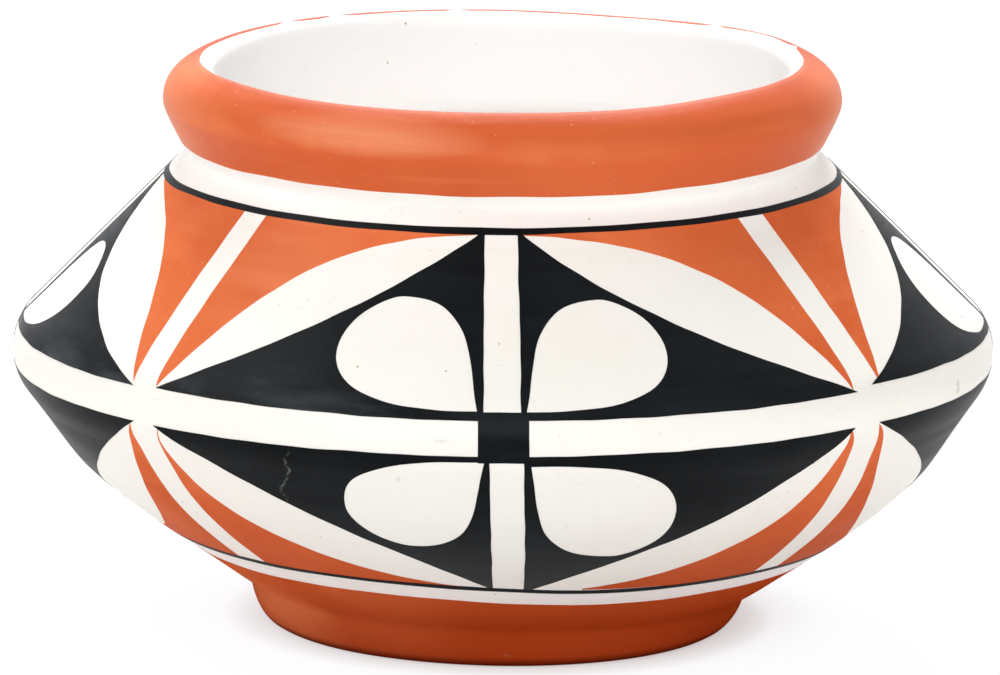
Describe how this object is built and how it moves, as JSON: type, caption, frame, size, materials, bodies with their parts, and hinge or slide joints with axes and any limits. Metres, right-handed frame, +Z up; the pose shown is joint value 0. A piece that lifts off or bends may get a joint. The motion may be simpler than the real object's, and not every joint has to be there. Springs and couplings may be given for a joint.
{
  "type": "pottery bowl",
  "caption": "Coil-built earthenware bowl with a keeled belly, rolled rim and low foot, slip-painted in black, red and cream with a traditional geometric band.",
  "frame": {"origin": "middle of the foot, on the surface that the bowl stands on", "axes": "+Z up through the mouth, -Y towards the pictured side"},
  "size_m": [0.24, 0.24, 0.1393],
  "materials": {
    "white_slip": "stone-polished cream slip, satin",
    "red_slip": "wiped orange-red slip, matte",
    "black_paint": "brushed black mineral and plant paint, matte"
  },
  "bodies": {
    "root": {"foot_ring": "red_slip", "floor_slab": "white_slip", "lower_wall_coil_1": "white_slip", "lower_wall_coil_2": "white_slip", "lower_wall_coil_3": "white_slip", "lower_wall_coil_4": "white_slip", "lower_wall_coil_5": "white_slip", "keel_coil": "white_slip", "upper_wall_coil_1": "white_slip", "upper_wall_coil_2": "white_slip", "upper_wall_coil_3": "white_slip", "upper_wall_coil_4": "white_slip", "neck_coil": "white_slip", "rim_roll": "red_slip"}
  },
  "joints": []
}
